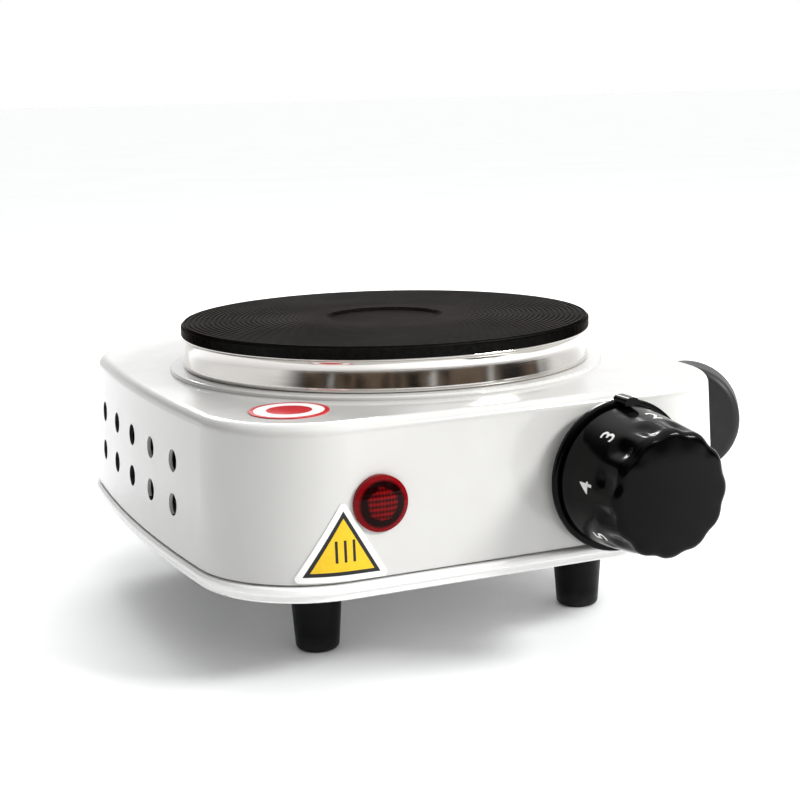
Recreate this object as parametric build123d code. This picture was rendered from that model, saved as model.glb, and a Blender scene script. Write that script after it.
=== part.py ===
from build123d import *
import os
from math import cos, pi, radians, sin, sqrt, tan

# Compact single-plate electric hot plate with a round cast-iron plate.
# Millimetres, +Z up, table at z = 0.  While a piece is drawn, the plate's axis is x = y = 0 and
# the knob faces -Y.  At export everything moves by FRAME_SHIFT, so that the origin is the
# middle of the footprint of the appliance with its knob, on the table.

# ---------------------------------------------------------------- driving dimensions
BODY_W = 129.8            # housing width at the foot of its wall
BODY_D = 134.0            # housing depth at the foot of its wall
CORNER_R = 25.5           # vertical corner radius
SIDE_BOW_R = 470.0        # the left and right walls bow outwards on this radius
WALL_TAPER = 1.5          # the drawn shell is this much smaller all round at its top
WALL_FOOT_Z = 24.8
TOP_Z = 57.6
TOP_EDGE_R = 2.6
SHEET = 0.8               # steel sheet thickness
COLLAR_R = 53.0           # pressed collar around the plate opening
COLLAR_H = 1.0
OPENING_R = 46.6

PLATE_R = 50.0
PLATE_TOP_Z = 69.0
PLATE_RIM_H = 2.7
PLATE_BOSS_R = 44.0
CASTING_FOOT_Z = 50.0
RECESS_R = 13.0
RECESS_DEPTH = 0.6
RING_T = 0.6

PAN_Z = 20.7              # underside of the base pan
LIP_GROW = 1.0            # the rolled lip stands this much outside the wall
LIP_TOP_Z = 24.3
PAN_UPSTAND_Z = 26.6
PAN_CLEARANCE = 0.35

FOOT_X, FOOT_Y = 33.8, 35.3
FOOT_TOP_R, FOOT_BOTTOM_R = 6.4, 4.9
FOOT_EDGE_R = 1.2
SCREW_R = 1.5             # M3 screws
STRAP_Z, STRAP_T, STRAP_W = 27.0, 1.2, 12.0

VENT_R = 2.5
VENT_PITCH_Y, VENT_PITCH_Z = 15.7, 9.8
VENT_MID_Y, VENT_LOW_Z = 4.0, 35.2
VENT_COLUMNS, VENT_ROWS = 5, 2

KNOB_X, KNOB_Z = 25.0, 40.0
BEZEL_R, BEZEL_ROOT_R = 16.9, 15.2
BEZEL_FRONT_Y = -70.0
KNOB_GAP = 0.35           # air between bezel and knob
KNOB_LENGTH = 20.1
SKIRT_R, WAIST_R, GRIP_R = 15.7, 14.6, 13.9
SKIRT_L = 10.5            # the skirt with its scale, before the fluted grip
FLUTES, FLUTE_R, FLUTE_DEPTH = 12, 3.4, 0.75
FACE_DOME_R = 80.0
SPINDLE_R = 3.0
RUNNING_GAP = 0.06        # radial clearance of the spindle in its bush

LAMP_X, LAMP_Z, LAMP_R = -30.8, 40.3, 6.0
LAMP_PROUD = 2.2

GLAND_X, GLAND_Z, GLAND_L = -20.0, 35.0, 20.0
CORD_R = 3.2
CORD_LENGTH = 950.0
COIL_X, COIL_Y, COIL_R = 20.0, 134.0, 37.0
PLUG_X, PLUG_Y, PLUG_R = 134.2, 67.5, 17.5
PLUG_HEADING = 55.8       # degrees from +X to the way the pins point
PLUG_TILT = 20.0          # the grip slopes down to the table by this much
PLUG_REACH = 27.0         # from the plug's middle to where the cord leaves it

# ---------------------------------------------------------------- derived values
WALL_SLOPE = WALL_TAPER / (TOP_Z - WALL_FOOT_Z)
SEAT_Z = TOP_Z + COLLAR_H
RIM_Z = PLATE_TOP_Z - PLATE_RIM_H
KNOB_BACK_Y = BEZEL_FRONT_Y - KNOB_GAP
KNOB_FRONT_Y = KNOB_BACK_Y - KNOB_LENGTH
REAR_Y = BODY_D / 2 + LIP_GROW
FRAME_SHIFT = -(KNOB_FRONT_Y + REAR_Y) / 2

OVER = 1.0                # how far a cutter runs past the face that it opens
CENTRED_BELOW = (Align.CENTER, Align.CENTER, Align.MIN)


def taper(z):
    """How far the housing's outside has come in at height z."""
    return WALL_SLOPE * (z - WALL_FOOT_Z)


def wall_y(z):
    """Half depth of the housing's outside at height z."""
    return BODY_D / 2 - taper(z)


# ---------------------------------------------------------------- helpers
def outline(grow, z):
    """Plan of the housing, offset outwards by grow, as a face at height z."""
    half_w, half_d, bow = BODY_W / 2 + grow, BODY_D / 2 + grow, SIDE_BOW_R + grow
    corner_x = half_w - bow + sqrt(bow**2 - half_d**2)
    edges = [
        Line((-corner_x, half_d), (corner_x, half_d)),
        ThreePointArc((corner_x, half_d), (half_w, 0), (corner_x, -half_d)),
        Line((corner_x, -half_d), (-corner_x, -half_d)),
        ThreePointArc((-corner_x, -half_d), (-half_w, 0), (-corner_x, half_d)),
    ]
    plan = make_face(Curve() + edges)
    return Pos(0, 0, z) * fillet(plan.vertices(), CORNER_R + grow)


def tapered_block(inset, z_low, z_high):
    """The housing's tapering volume between two heights, inset from its outside."""
    low = outline(-inset - taper(z_low), z_low)
    high = outline(-inset - taper(z_high), z_high)
    return loft([low.face(), high.face()], ruled=True)


def slab(grow, z_low, z_high):
    """An upright prism of the housing's plan."""
    return extrude(outline(grow, z_low), z_high - z_low)


def disc(radius, z_low, z_high, x=0.0, y=0.0):
    """An upright cylinder."""
    return Pos(x, y, z_low) * Cylinder(radius, z_high - z_low, align=CENTRED_BELOW)


def rod_y(radius, y_low, y_high, x, z):
    """A cylinder along Y."""
    plane = Plane((x, y_low, z), x_dir=(1, 0, 0), z_dir=(0, 1, 0))
    return extrude(plane * Circle(radius), y_high - y_low)


def rod_x(radius, x_low, x_high, y, z):
    """A cylinder along X."""
    plane = Plane((x_low, y, z), x_dir=(0, 1, 0), z_dir=(1, 0, 0))
    return extrude(plane * Circle(radius), x_high - x_low)


def block(x, y, z):
    """A box from three (low, high) pairs."""
    size = [high - low for low, high in (x, y, z)]
    middle = [(high + low) / 2 for low, high in (x, y, z)]
    return Pos(*middle) * Box(*size)


def turned(points):
    """A solid turned about the plate's axis from (radius, height) corners."""
    profile = make_face(Plane.XZ * Polyline(*points, close=True))
    return revolve(profile, Axis.Z)


def turned_y(points, x, z):
    """A solid turned about a line along Y, from (radius, y) corners."""
    corners = [(x + radius, y, z) for radius, y in points]
    profile = make_face(Polyline(*corners, close=True))
    return revolve(profile, Axis((x, 0, z), (0, 1, 0)))


def cut(body, *tools):
    """A body less each tool in turn."""
    for tool in tools:
        body = body - tool
    return body


def hex_nut(across, z_low, z_high, bore, x=0.0, y=0.0):
    """An upright hexagonal nut."""
    prism = Pos(x, y, z_low) * extrude(RegularPolygon(across / sqrt(3), 6), z_high - z_low)
    return prism - disc(bore, z_low - OVER, z_high + OVER, x, y)


def route_radii(points):
    """The largest arc that each corner of a route has room for."""
    radii = []
    for before, here, after in zip(points, points[1:], points[2:]):
        run_in, run_out = Vector(*here) - Vector(*before), Vector(*after) - Vector(*here)
        half_turn = radians(run_in.get_angle(run_out)) / 2
        radii.append(0.45 * min(run_in.length, run_out.length) / tan(half_turn))
    return radii


def tube(points, radius):
    """A round tube along straight runs joined by tangent arcs."""
    if len(points) > 2:
        path = FilletPolyline(*points, radius=route_radii(points))
    else:
        path = Line(*points)
    start = Plane(origin=path @ 0, z_dir=path % 0)
    return sweep(start * Circle(radius), path=path)


def feet_places():
    """Name and plan position of each foot."""
    for row, y in (("front", -FOOT_Y), ("rear", FOOT_Y)):
        for side, x in (("left", -FOOT_X), ("right", FOOT_X)):
            yield f"{row}_{side}", x, y


# ---------------------------------------------------------------- housing
COLLAR_EDGE_R = 0.7
BUSH_R, LAMP_SLEEVE_R, GLAND_NECK_R = 5.0, 4.6, 5.6
HOLE_GAP = 0.15
HOLE_REACH = 5.0          # how far inside the wall's foot a hole's cutter starts


def top_shell():
    """Drawn steel housing: five-sided, with a pressed collar round the plate opening."""
    outside = tapered_block(0, WALL_FOOT_Z, TOP_Z)
    outside = fillet(outside.faces().sort_by(Axis.Z)[-1].edges(), TOP_EDGE_R)
    inside = tapered_block(SHEET, WALL_FOOT_Z, TOP_Z - SHEET)
    inside = fillet(inside.faces().sort_by(Axis.Z)[-1].edges(), TOP_EDGE_R - SHEET)
    collar = disc(COLLAR_R, TOP_Z - SHEET / 2, SEAT_Z)
    collar = fillet(collar.edges().sort_by(Axis.Z)[-1], COLLAR_EDGE_R)
    shell = outside - inside + collar
    shell = shell - disc(COLLAR_R - SHEET, TOP_Z - SHEET - OVER, SEAT_Z - SHEET)
    shell = shell - disc(OPENING_R, TOP_Z - OVER * 2, SEAT_Z + OVER)
    return cut(shell, *vents(), *front_holes(), gland_hole())


def vents():
    """Rows of round air holes through both side walls."""
    reach = BODY_W / 2 + OVER
    first_y = VENT_MID_Y - VENT_PITCH_Y * (VENT_COLUMNS - 1) / 2
    for row in range(VENT_ROWS):
        for column in range(VENT_COLUMNS):
            y = first_y + VENT_PITCH_Y * column
            z = VENT_LOW_Z + VENT_PITCH_Z * row
            yield rod_x(VENT_R, -reach, reach, y, z)


def front_holes():
    """Openings for the thermostat bush and the indicator in the front wall."""
    y_low, y_high = -BODY_D / 2 - OVER, -BODY_D / 2 + HOLE_REACH
    return [
        rod_y(BUSH_R + HOLE_GAP, y_low, y_high, KNOB_X, KNOB_Z),
        rod_y(LAMP_SLEEVE_R + HOLE_GAP, y_low, y_high, LAMP_X, LAMP_Z),
    ]


def gland_hole():
    """Opening for the cord gland in the rear wall."""
    y_low, y_high = BODY_D / 2 - HOLE_REACH, BODY_D / 2 + OVER
    return rod_y(GLAND_NECK_R + HOLE_GAP, y_low, y_high, GLAND_X, GLAND_Z)


SLOT_X, SLOT_L, SLOT_W, SLOT_PITCH, SLOTS = 22.0, 26.0, 3.0, 9.0, 5
PAN_STEP_Z = PAN_Z + 1.7  # where the lip's lower step ends and its bead begins
BEAD_EDGE_R, STEP_EDGE_R = 0.8, 0.7


def base_pan():
    """Pressed base: a two-step rolled lip, a floor with air slots, and a wall inside the shell."""
    bead = slab(LIP_GROW, PAN_STEP_Z, LIP_TOP_Z)
    bead = fillet(bead.edges().filter_by(Plane.XY), BEAD_EDGE_R)
    step = slab(0, PAN_Z, PAN_STEP_Z + SHEET / 2)
    step = fillet(step.faces().sort_by(Axis.Z)[0].edges(), STEP_EDGE_R)
    wall_inset = SHEET + PAN_CLEARANCE + taper(PAN_UPSTAND_Z)
    wall = slab(-wall_inset, LIP_TOP_Z - SHEET, PAN_UPSTAND_Z)
    hollow = slab(-wall_inset - SHEET, PAN_Z + SHEET, PAN_UPSTAND_Z + OVER)
    pan = bead + step + wall - hollow
    return cut(pan, *pan_slots(), *pan_screw_holes())


def pan_slots():
    """Two banks of air slots in the pan's floor."""
    first_y = -SLOT_PITCH * (SLOTS - 1) / 2
    for side in (-1, 1):
        for index in range(SLOTS):
            place_at = Pos(side * SLOT_X, first_y + SLOT_PITCH * index, PAN_Z - OVER)
            yield extrude(place_at * SlotOverall(SLOT_L, SLOT_W), SHEET + 2 * OVER)


CLAMP_X, CLAMP_Y, CLAMP_W, CLAMP_L = GLAND_X, 53.5, 19.0, 7.0
CLAMP_TOP_Z = GLAND_Z + 5.0
SHEATH_END_Y = CLAMP_Y - CLAMP_L / 2 - 2
CLAMP_SCREW_X = 6.8
EARTH_X, EARTH_Y = -20.0, 0.0


def pan_screw_holes():
    """Holes in the pan for the feet's screws and for the cord clamp's."""
    for _, x, y in feet_places():
        yield disc(SCREW_R + HOLE_GAP, PAN_Z - OVER, PAN_Z + 2 * SHEET, x, y)
    for x in clamp_screw_places():
        yield disc(SCREW_R, PAN_Z - OVER, PAN_Z + 2 * SHEET, x, CLAMP_Y)


STRAP_UPTURN = 9.0


def cross_strap(y):
    """A steel strap across the housing, with its ends turned up against the side walls."""
    reach = BODY_W / 2
    span = (y - STRAP_W / 2, y + STRAP_W / 2)
    bar = block((-reach, reach), span, (STRAP_Z, STRAP_Z + STRAP_UPTURN))
    cavity = tapered_block(SHEET, WALL_FOOT_Z, TOP_Z - SHEET)
    inner = tapered_block(SHEET + STRAP_T, WALL_FOOT_Z, TOP_Z - SHEET)
    trough = block((-reach, reach), (-BODY_D, BODY_D), (STRAP_Z + STRAP_T, TOP_Z)) & inner
    strap = (bar & cavity) - trough
    for x in (-FOOT_X, FOOT_X):
        strap = strap - disc(SCREW_R, STRAP_Z - OVER, STRAP_Z + STRAP_T + OVER, x, y)
    return strap


# ---------------------------------------------------------------- feet
SCREW_HEAD_R, SCREW_HEAD_H, SCREW_SEAT_Z = 2.8, 2.0, 9.0
SCREW_EDGE_R = 0.8
CROSS_L, CROSS_W, CROSS_DEPTH = 2.8, 0.6, 0.8


def foot(x, y):
    """Tapered moulded foot with a counterbore for its screw."""
    body = Pos(x, y, PAN_Z / 2) * Cone(FOOT_BOTTOM_R, FOOT_TOP_R, PAN_Z)
    body = fillet(body.edges().sort_by(Axis.Z)[0], FOOT_EDGE_R)
    body = body - disc(SCREW_HEAD_R + 0.2, -OVER, SCREW_SEAT_Z, x, y)
    return body - disc(SCREW_R + HOLE_GAP, -OVER, PAN_Z + OVER, x, y)


def pan_head_screw(x, y, seat_z, tip_z):
    """A cross-head screw whose head bears on seat_z; tip_z above it points up, below it down."""
    way = 1 if tip_z > seat_z else -1
    head_z = sorted((seat_z, seat_z - way * SCREW_HEAD_H))
    head = disc(SCREW_HEAD_R, *head_z, x, y)
    outer = head.edges().filter_by(GeomType.CIRCLE).sort_by(Axis.Z)[0 if way > 0 else -1]
    head = fillet(outer, SCREW_EDGE_R)
    shank = disc(SCREW_R, *sorted((seat_z, tip_z)), x, y)
    outer_z = seat_z - way * SCREW_HEAD_H
    arms = ((CROSS_L, CROSS_W), (CROSS_W, CROSS_L))
    slots = [Pos(x, y, outer_z) * Box(length, width, 2 * CROSS_DEPTH) for length, width in arms]
    return cut(head + shank, *slots)


def foot_screws():
    """Four screws through the feet and the pan into the straps."""
    tip_z = STRAP_Z + STRAP_T + 2
    return [pan_head_screw(x, y, SCREW_SEAT_Z, tip_z) for _, x, y in feet_places()]


# ---------------------------------------------------------------- plate
CHANNEL_IN, CHANNEL_OUT, CHANNEL_H = 18.0, 41.0, 8.0
STUD_R, STUD_BOSS_Z, STUD_TIP_Z = 2.5, 60.0, 36.0
TERMINAL_X, TERMINAL_Y, TERMINAL_R = 13.0, 34.0, 1.2
BEAD_R, BEAD_PROUD = 2.4, 2.0
TERMINAL_TIP_Z = 42.5
PIN_TOP_Z = 52.0
COVER_Z, PAD_Z, BRIDGE_Z = 49.2, 47.0, 45.5
COVER_R, PAD_R, WASHER_R, SHIELD_R = 43.0, 40.0, 5.0, 31.0
BRIDGE_W, BRIDGE_EAR = 16.0, 9.0
NUT_ACROSS, NUT_H, SHIELD_NUT_H, WASHER_T = 8.0, 4.0, 2.6, 1.0
PLATE_EDGE = 0.7
RECESS_SLOPE = 1.5


def hotplate_casting():
    """Cast-iron plate: overhanging rim, dished middle, and a channel below for the element."""
    corners = [
        (0, CASTING_FOOT_Z), (PLATE_BOSS_R, CASTING_FOOT_Z), (PLATE_BOSS_R, RIM_Z), (PLATE_R, RIM_Z),
        (PLATE_R, PLATE_TOP_Z - PLATE_EDGE), (PLATE_R - PLATE_EDGE, PLATE_TOP_Z),
        (RECESS_R + RECESS_SLOPE, PLATE_TOP_Z), (RECESS_R, PLATE_TOP_Z - RECESS_DEPTH),
        (0, PLATE_TOP_Z - RECESS_DEPTH),
    ]
    channel = disc(CHANNEL_OUT, CASTING_FOOT_Z - OVER, CASTING_FOOT_Z + CHANNEL_H)
    channel = channel - disc(CHANNEL_IN, 0, PLATE_TOP_Z)
    return turned(corners) - channel - disc(STUD_R, CASTING_FOOT_Z - OVER, STUD_BOSS_Z)


RING_BEAD, RING_ROLL = 0.4, 0.5


def trim_ring():
    """Bright pressed ring between the housing and the plate's rim, with a small bead at its top."""
    inner = PLATE_BOSS_R + RING_T
    wall, bead = PLATE_R - RING_BEAD, PLATE_R - RING_BEAD / 8
    corners = [
        (inner, SEAT_Z), (wall - RING_ROLL, SEAT_Z), (wall, SEAT_Z + RING_ROLL),
        (wall, RIM_Z - 2 * RING_BEAD), (bead, RIM_Z - 1.5 * RING_BEAD), (bead, RIM_Z - RING_BEAD / 2),
        (wall, RIM_Z), (inner, RIM_Z), (inner, RIM_Z - RING_T), (wall - RING_T, RIM_Z - RING_T),
        (wall - RING_T, SEAT_Z + RING_T), (inner, SEAT_Z + RING_T),
    ]
    return turned(corners)


COIL_RINGS, COIL_WIRE_R = (23.5, 29.5, 35.5), 1.7


def heating_coil():
    """Three turns of coiled resistance wire, as its rings' outer shape."""
    z = CASTING_FOOT_Z + CHANNEL_H / 2
    return [Pos(0, 0, z) * Torus(radius, COIL_WIRE_R) for radius in COIL_RINGS]


def coil_cement():
    """Magnesia cement that fills the channel around the coil."""
    ring = disc(CHANNEL_OUT, CASTING_FOOT_Z, CASTING_FOOT_Z + CHANNEL_H)
    ring = cut(ring - disc(CHANNEL_IN, 0, PLATE_TOP_Z), *heating_coil())
    return cut(ring, *[disc(TERMINAL_R, 0, PIN_TOP_Z, x, TERMINAL_Y) for x in (-TERMINAL_X, TERMINAL_X)])


def terminal_passages():
    """Holes that the stud and the two beads pass through."""
    beads = [disc(BEAD_R, 0, PLATE_TOP_Z, x, TERMINAL_Y) for x in (-TERMINAL_X, TERMINAL_X)]
    return [disc(STUD_R, 0, PLATE_TOP_Z)] + beads


def plate_back_cover():
    """Sheet disc that closes the element channel."""
    return cut(disc(COVER_R, COVER_Z, CASTING_FOOT_Z), *terminal_passages())


def insulation_pad():
    """Fibre pad between the back cover and the clamp bridge."""
    return cut(disc(PAD_R, PAD_Z, COVER_Z), *terminal_passages())


def clamp_bridge():
    """Hat-shaped steel strap that pulls the casting down onto the housing."""
    thick, leg_x = PAD_Z - BRIDGE_Z, OPENING_R + RING_T
    half = (-BRIDGE_W / 2, BRIDGE_W / 2)
    under_top = TOP_Z - SHEET
    bridge = block((-leg_x, leg_x), half, (BRIDGE_Z, PAD_Z))
    for side in (-1, 1):
        leg = sorted((side * leg_x, side * (leg_x - thick)))
        ear = sorted((side * leg_x, side * (leg_x + BRIDGE_EAR)))
        bridge = bridge + block(leg, half, (BRIDGE_Z, under_top))
        bridge = bridge + block(ear, half, (under_top - thick, under_top))
    bridge = bridge - disc(PLATE_BOSS_R + PAN_CLEARANCE, PAD_Z, PLATE_TOP_Z)
    return bridge - disc(STUD_R + HOLE_GAP, 0, PLATE_TOP_Z)


def centre_stud():
    """Threaded stud from the casting down through the bridge and the heat shield."""
    return disc(STUD_R, STUD_TIP_Z, STUD_BOSS_Z)


def stud_washer():
    """Spring washer under the bridge."""
    return disc(WASHER_R, BRIDGE_Z - WASHER_T, BRIDGE_Z) - disc(STUD_R + HOLE_GAP, 0, PLATE_TOP_Z)


SHIELD_Z = 39.6


def heat_shield():
    """Bright sheet disc that keeps the plate's heat from the base."""
    return disc(SHIELD_R, SHIELD_Z, SHIELD_Z + SHEET) - disc(STUD_R + HOLE_GAP, 0, PLATE_TOP_Z)


def element_terminals():
    """Two steel pins, the ends of the coil."""
    return [disc(TERMINAL_R, TERMINAL_TIP_Z, PIN_TOP_Z, x, TERMINAL_Y) for x in (-TERMINAL_X, TERMINAL_X)]


def terminal_beads():
    """Ceramic beads that insulate the pins where they pass the pad and the cover."""
    beads = []
    for x in (-TERMINAL_X, TERMINAL_X):
        bead = disc(BEAD_R, PAD_Z - BEAD_PROUD, CASTING_FOOT_Z, x, TERMINAL_Y)
        beads.append(bead - disc(TERMINAL_R, 0, PLATE_TOP_Z, x, TERMINAL_Y))
    return beads


# ---------------------------------------------------------------- thermostat and knob
THERMO_BACK_Y, THERMO_FRONT_Y = -43.0, -62.0
THERMO_HALF_W, THERMO_LOW_Z, THERMO_HIGH_Z = 12.0, 31.0, 47.5
SPINDLE_END_Y = -50.0
CONTACT_X, CONTACT_Z = 8.0, 34.0
TAB_W, TAB_T, TAB_L = 6.0, 0.8, 7.0
TAB_END_Y = THERMO_BACK_Y + TAB_L
THERMO_CHAMFER = 1.5
TAIL_R, TAIL_L = 4.4, 3.0
SHOULDER_R, SHOULDER_GAP = 7.0, 0.5
NUT_BACK_Y, NUT_T, BUSH_NUT_ACROSS = -69.0, 2.0, 14.0
BLADE_W, BLADE_T, BLADE_INSET = 6.0, 1.2, 1.5


def thermostat_body():
    """Steatite block of the regulator."""
    body = block(
        (KNOB_X - THERMO_HALF_W, KNOB_X + THERMO_HALF_W), (THERMO_FRONT_Y, THERMO_BACK_Y),
        (THERMO_LOW_Z, THERMO_HIGH_Z))
    body = chamfer(body.edges().filter_by(Axis.Y), THERMO_CHAMFER)
    well_r = SPINDLE_R + 2 * HOLE_GAP
    well = rod_y(well_r, THERMO_FRONT_Y - OVER, SPINDLE_END_Y + SHOULDER_GAP, KNOB_X, KNOB_Z)
    socket = rod_y(TAIL_R, THERMO_FRONT_Y - OVER, THERMO_FRONT_Y + TAIL_L, KNOB_X, KNOB_Z)
    return body - well - socket


def thermostat_bush():
    """Brass bush that carries the spindle through the front wall."""
    inner_wall = -wall_y(KNOB_Z) + SHEET
    sleeve = rod_y(BUSH_R, NUT_BACK_Y, inner_wall + SHOULDER_GAP, KNOB_X, KNOB_Z)
    shoulder = rod_y(SHOULDER_R, inner_wall + SHOULDER_GAP, THERMO_FRONT_Y, KNOB_X, KNOB_Z)
    tail = rod_y(TAIL_R, THERMO_FRONT_Y, THERMO_FRONT_Y + TAIL_L, KNOB_X, KNOB_Z)
    bore = rod_y(SPINDLE_R + RUNNING_GAP, BEZEL_FRONT_Y - OVER, THERMO_BACK_Y, KNOB_X, KNOB_Z)
    return sleeve + shoulder + tail - bore


def thermostat_nut():
    """Flat hexagonal nut that holds the bush in the front wall, inside the bezel."""
    plane = Plane((KNOB_X, NUT_BACK_Y, KNOB_Z), x_dir=(1, 0, 0), z_dir=(0, 1, 0))
    prism = extrude(plane * RegularPolygon(BUSH_NUT_ACROSS / sqrt(3), 6), NUT_T)
    return prism - rod_y(BUSH_R, BEZEL_FRONT_Y - OVER, THERMO_BACK_Y, KNOB_X, KNOB_Z)


def thermostat_bimetal():
    """Bimetal blade on top of the regulator, close under the plate."""
    return block(
        (KNOB_X - BLADE_W / 2, KNOB_X + BLADE_W / 2),
        (THERMO_FRONT_Y + BLADE_INSET, THERMO_BACK_Y - BLADE_INSET),
        (THERMO_HIGH_Z, THERMO_HIGH_Z + BLADE_T))


def thermostat_contacts():
    """Two push-on tabs at the back of the regulator."""
    return [
        block(
            (x - TAB_W / 2, x + TAB_W / 2), (THERMO_BACK_Y, TAB_END_Y),
            (CONTACT_Z - TAB_T / 2, CONTACT_Z + TAB_T / 2))
        for x in (KNOB_X - CONTACT_X, KNOB_X + CONTACT_X)
    ]


KNOB_BORE_Y = KNOB_FRONT_Y + 6.0
FLAT_DEPTH = 1.2
SKIRT_EDGE, FACE_EDGE_R = 1.0, 0.8


def thermostat_spindle():
    """D-shaped steel spindle that the knob turns."""
    spindle = rod_y(SPINDLE_R, KNOB_BORE_Y, SPINDLE_END_Y, KNOB_X, KNOB_Z)
    flat_z = KNOB_Z + SPINDLE_R - FLAT_DEPTH
    flat = block(
        (KNOB_X - SPINDLE_R, KNOB_X + SPINDLE_R), (KNOB_BORE_Y - OVER, KNOB_BACK_Y),
        (flat_z, flat_z + 2 * SPINDLE_R))
    return spindle - flat


def knob_clip():
    """Leaf spring on the spindle's flat, inside the knob's bore."""
    clip = rod_y(SPINDLE_R, KNOB_BORE_Y + 0.3, KNOB_BACK_Y - 1, KNOB_X, KNOB_Z)
    flat_z = KNOB_Z + SPINDLE_R - FLAT_DEPTH
    return clip - block(
        (KNOB_X - SPINDLE_R, KNOB_X + SPINDLE_R), (KNOB_FRONT_Y, KNOB_BACK_Y + OVER),
        (KNOB_Z - 2 * SPINDLE_R, flat_z))


def knob():
    """Fluted control knob with a conical skirt for its scale and a softly domed face."""
    back, front = KNOB_BACK_Y, KNOB_FRONT_Y
    corners = [
        (0, front), (GRIP_R, front), (WAIST_R, back - SKIRT_L),
        (SKIRT_R, back - SKIRT_EDGE), (SKIRT_R, back), (0, back),
    ]
    body = turned_y(corners, KNOB_X, KNOB_Z)
    body = body & Pos(KNOB_X, front + FACE_DOME_R, KNOB_Z) * Sphere(FACE_DOME_R)
    rim = body.edges().filter_by(GeomType.CIRCLE).sort_by(Axis.Y)[0]
    body = fillet(rim, FACE_EDGE_R)
    body = cut(body, *flute_cutters())
    return body - rod_y(SPINDLE_R, KNOB_BORE_Y, back + OVER, KNOB_X, KNOB_Z)


def flute_cutters():
    """Round-ended cutters that scoop the grip between its ribs, from the skirt to the face."""
    reach = KNOB_LENGTH - SKIRT_L - FLUTE_R
    for index in range(FLUTES):
        angle = 360 / FLUTES * (index + 0.5)
        scoop = Cylinder(FLUTE_R, reach + OVER, align=CENTRED_BELOW)
        cutter = Pos(GRIP_R + FLUTE_R - FLUTE_DEPTH, 0, -reach) * (scoop + Sphere(FLUTE_R))
        yield Pos(KNOB_X, KNOB_FRONT_Y, KNOB_Z) * Rot(90, 0, 0) * Rot(0, 0, angle) * cutter


NUB_W, NUB_TOP_R, NUB_FRONT_Y = 3.4, 17.9, BEZEL_FRONT_Y - 3.8
NUB_LOW_R, NUB_EDGE_R = SKIRT_R + 0.5, 1.2
BEZEL_EDGE_R, BEZEL_FACE_T, BEZEL_FLANGE_T = 0.7, 0.9, 1.3
NUT_WELL_R = 8.4


def knob_bezel():
    """Fixed round plate behind the knob, with the pointer nub on top."""
    back_y = -BODY_D / 2 + 2
    corners = [
        (0, BEZEL_FRONT_Y), (BEZEL_R, BEZEL_FRONT_Y), (BEZEL_R, BEZEL_FRONT_Y + BEZEL_FLANGE_T),
        (BEZEL_ROOT_R, BEZEL_FRONT_Y + 2 * BEZEL_FLANGE_T), (BEZEL_ROOT_R, back_y), (0, back_y),
    ]
    plate = turned_y(corners, KNOB_X, KNOB_Z)
    plate = fillet(plate.edges().filter_by(GeomType.CIRCLE).sort_by(Axis.Y)[0], BEZEL_EDGE_R)
    nub = block(
        (KNOB_X - NUB_W / 2, KNOB_X + NUB_W / 2), (NUB_FRONT_Y, BEZEL_FRONT_Y + BEZEL_FLANGE_T),
        (KNOB_Z + NUB_LOW_R - NUB_W / 2, KNOB_Z + NUB_TOP_R))
    nub = fillet(nub.edges().filter_by(Axis.Y).sort_by(Axis.Z)[-2:], NUB_EDGE_R)
    nub = nub - rod_y(NUB_LOW_R, KNOB_FRONT_Y, BEZEL_FRONT_Y, KNOB_X, KNOB_Z)
    bezel = plate + nub - tapered_block(0, PAN_Z, TOP_Z)
    bezel = bezel - slab(LIP_GROW + HOLE_GAP, PAN_Z, LIP_TOP_Z + HOLE_GAP)
    nut_well = rod_y(NUT_WELL_R, BEZEL_FRONT_Y + BEZEL_FACE_T, back_y, KNOB_X, KNOB_Z)
    return bezel - nut_well - rod_y(BUSH_R + HOLE_GAP, BEZEL_FRONT_Y - OVER, back_y, KNOB_X, KNOB_Z)


# ---------------------------------------------------------------- indicator
SLEEVE_BACK_Y = -54.0
SLEEVE_T, SLEEVE_END_T = 0.9, 1.5
SLEEVE_BORE_R = LAMP_SLEEVE_R - SLEEVE_T
LENS_DOME_R, LENS_T = 14.5, 1.1
LAMP_CLIP_R, LAMP_CLIP_T = 7.2, 1.2
BULB_R, BULB_END_R = 2.4, 2.0
LEAD_R, LEAD_X = 0.6, 1.1


def indicator_lens():
    """Domed red lens, hollow, standing proud of the front wall."""
    wall = -wall_y(LAMP_Z)
    front = wall - LAMP_PROUD
    solid = rod_y(LAMP_R, front, wall + 1, LAMP_X, LAMP_Z) - tapered_block(0, WALL_FOOT_Z, TOP_Z)
    solid = solid & Pos(LAMP_X, front + LENS_DOME_R, LAMP_Z) * Sphere(LENS_DOME_R)
    return solid - rod_y(SLEEVE_BORE_R, front + LENS_T, wall + OVER, LAMP_X, LAMP_Z)


def indicator_holder():
    """Sleeve behind the lens that carries the lamp."""
    wall = -wall_y(LAMP_Z)
    end_y = SLEEVE_BACK_Y - SLEEVE_END_T
    sleeve = rod_y(LAMP_SLEEVE_R, wall + PAN_CLEARANCE, SLEEVE_BACK_Y, LAMP_X, LAMP_Z)
    bore = rod_y(SLEEVE_BORE_R, wall - OVER, end_y, LAMP_X, LAMP_Z)
    lead_places = (LAMP_X - LEAD_X, LAMP_X + LEAD_X)
    leads = [rod_y(LEAD_R, end_y - OVER, SLEEVE_BACK_Y + OVER, x, LAMP_Z) for x in lead_places]
    return cut(sleeve, bore, *leads)


def indicator_clip():
    """Push-on spring ring that holds the sleeve against the inside of the wall."""
    inner_wall = -wall_y(LAMP_Z) + SHEET
    ring = rod_y(LAMP_CLIP_R, inner_wall, inner_wall + LAMP_CLIP_T, LAMP_X, LAMP_Z)
    ring = ring & tapered_block(SHEET, WALL_FOOT_Z, TOP_Z - SHEET)
    return ring - rod_y(LAMP_SLEEVE_R, inner_wall - OVER, SLEEVE_BACK_Y, LAMP_X, LAMP_Z)


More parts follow.
